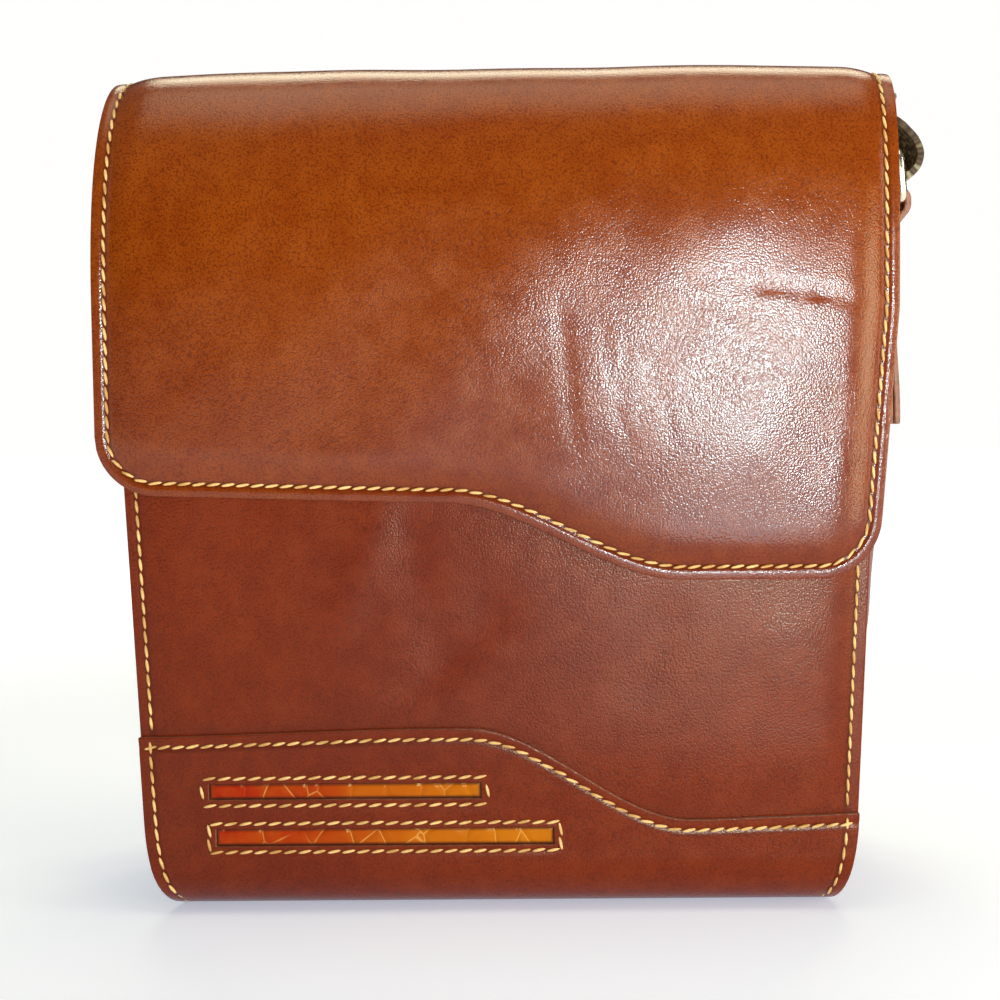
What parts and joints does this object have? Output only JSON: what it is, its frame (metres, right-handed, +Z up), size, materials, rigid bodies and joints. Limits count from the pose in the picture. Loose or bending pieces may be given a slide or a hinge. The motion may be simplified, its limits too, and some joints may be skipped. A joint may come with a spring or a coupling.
{
  "type": "shoulder bag",
  "caption": "Padded flap-over leather shoulder bag with an S-shaped flap edge, inlaid lower front, side rings and a long woven strap.",
  "frame": {"origin": "on the floor under the middle of the base", "axes": "+Z up, the front with the flap towards -Y, +X to the right as the front is seen"},
  "size_m": [0.2759, 0.2993, 0.2699],
  "materials": {
    "body_leather": "satin, fine grain",
    "flap_leather": "semi-gloss, fine grain",
    "side_leather": "satin, fine grain",
    "inlay_leather": "glossy, embossed with scales",
    "ring_metal": "polished, pale gold tint",
    "webbing": "coarse flat weave"
  },
  "bodies": {
    "root": {"body_wrap": "body_leather", "front_overlay": "body_leather", "inlay_upper": "inlay_leather", "inlay_lower": "inlay_leather", "flap": "flap_leather", "gusset_left": "side_leather", "gusset_right": "side_leather", "tab_left": "side_leather", "tab_right": "side_leather", "ring_left": "ring_metal", "ring_right": "ring_metal", "strap": "webbing"}
  },
  "joints": []
}
